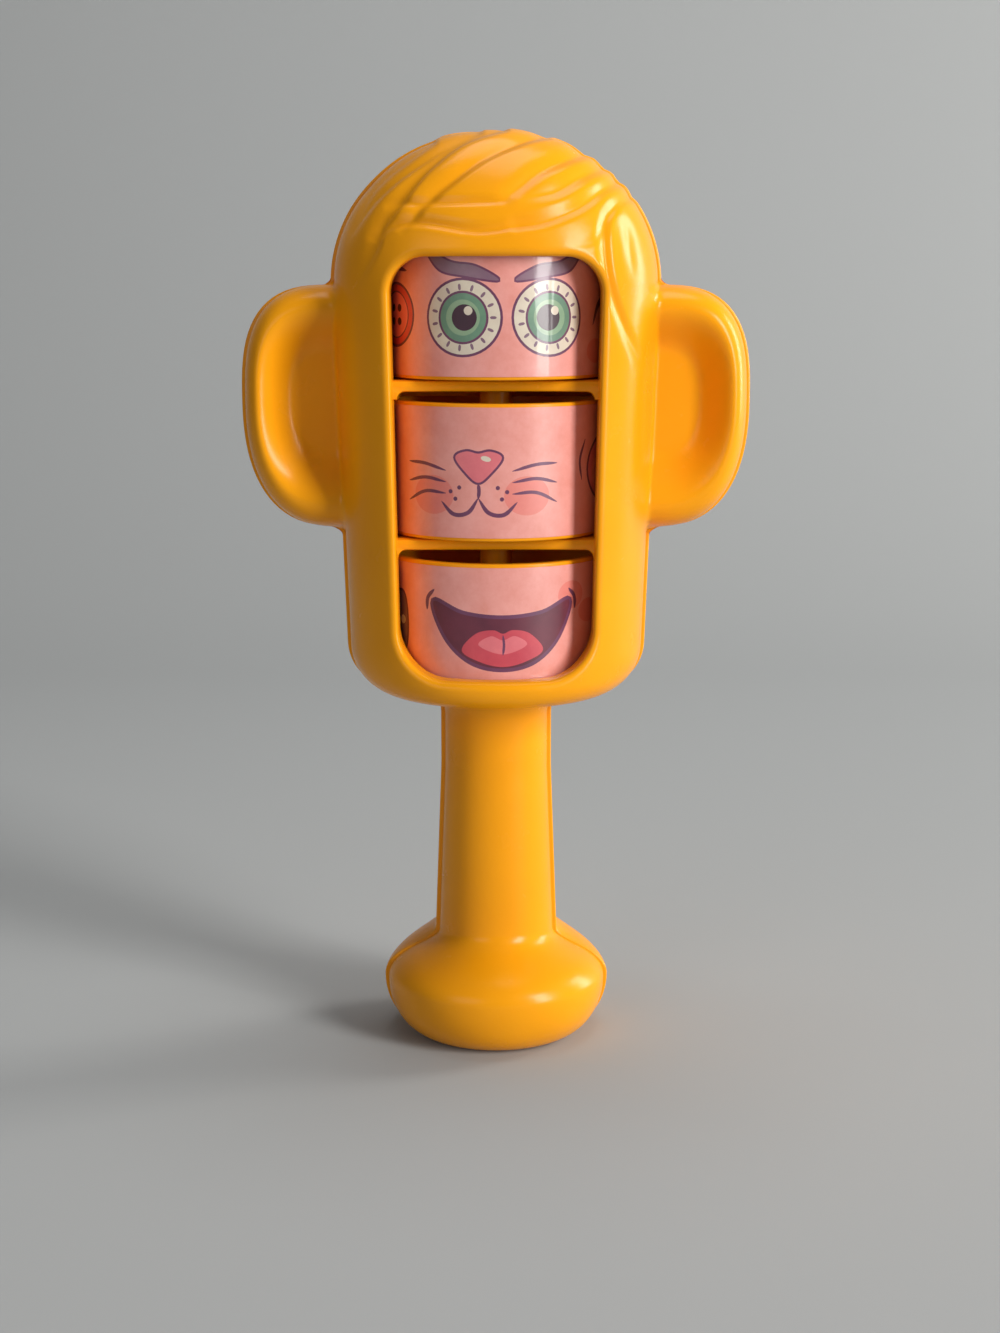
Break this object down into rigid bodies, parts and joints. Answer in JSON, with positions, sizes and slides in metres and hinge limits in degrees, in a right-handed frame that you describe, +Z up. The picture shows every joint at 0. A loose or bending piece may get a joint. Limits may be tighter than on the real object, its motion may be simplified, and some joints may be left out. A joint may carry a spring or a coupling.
{
  "type": "rotating face puzzle rattle",
  "caption": "Hand rattle shaped as a head with ears on a round handle and foot; stacked printed drums turn behind a face window to mix eyes, noses and mouths.",
  "frame": {"origin": "middle of the foot's flat base, on the table", "axes": "+Z up along handle and axle, -Y out of the face window, +X to the right ear as seen from the front"},
  "size_m": [0.1024, 0.052, 0.1856],
  "materials": {
    "yellow_plastic": "glossy moulded",
    "drum_plastic": "glossy moulded",
    "printed_film": "glossy laminated print",
    "bead_plastic": "plain"
  },
  "bodies": {
    "housing": {"front_shell": "yellow_plastic", "rear_shell": "yellow_plastic", "axle": "yellow_plastic"},
    "eyes": {"eye_drum": "drum_plastic", "eye_label": "printed_film"},
    "nose": {"nose_drum": "drum_plastic", "nose_label": "printed_film"},
    "mouth": {"mouth_drum": "drum_plastic", "mouth_label": "printed_film"},
    "beads": {"rattle_beads": "bead_plastic"}
  },
  "joints": [
    {"name": "eye_spin", "type": "hinge", "parent": "housing", "child": "eyes", "pos_m": [0, 0, 0.1505], "axis": [0, 0, 1], "continuous": true},
    {"name": "nose_spin", "type": "hinge", "parent": "housing", "child": "nose", "pos_m": [0, 0, 0.1195], "axis": [0, 0, 1], "continuous": true},
    {"name": "mouth_spin", "type": "hinge", "parent": "housing", "child": "mouth", "pos_m": [0, 0, 0.0885], "axis": [0, 0, 1], "continuous": true},
    {"name": "bead_shake", "type": "slide", "parent": "housing", "child": "beads", "axis": [0, 0, 1], "range_m": [0, 0.055]}
  ]
}
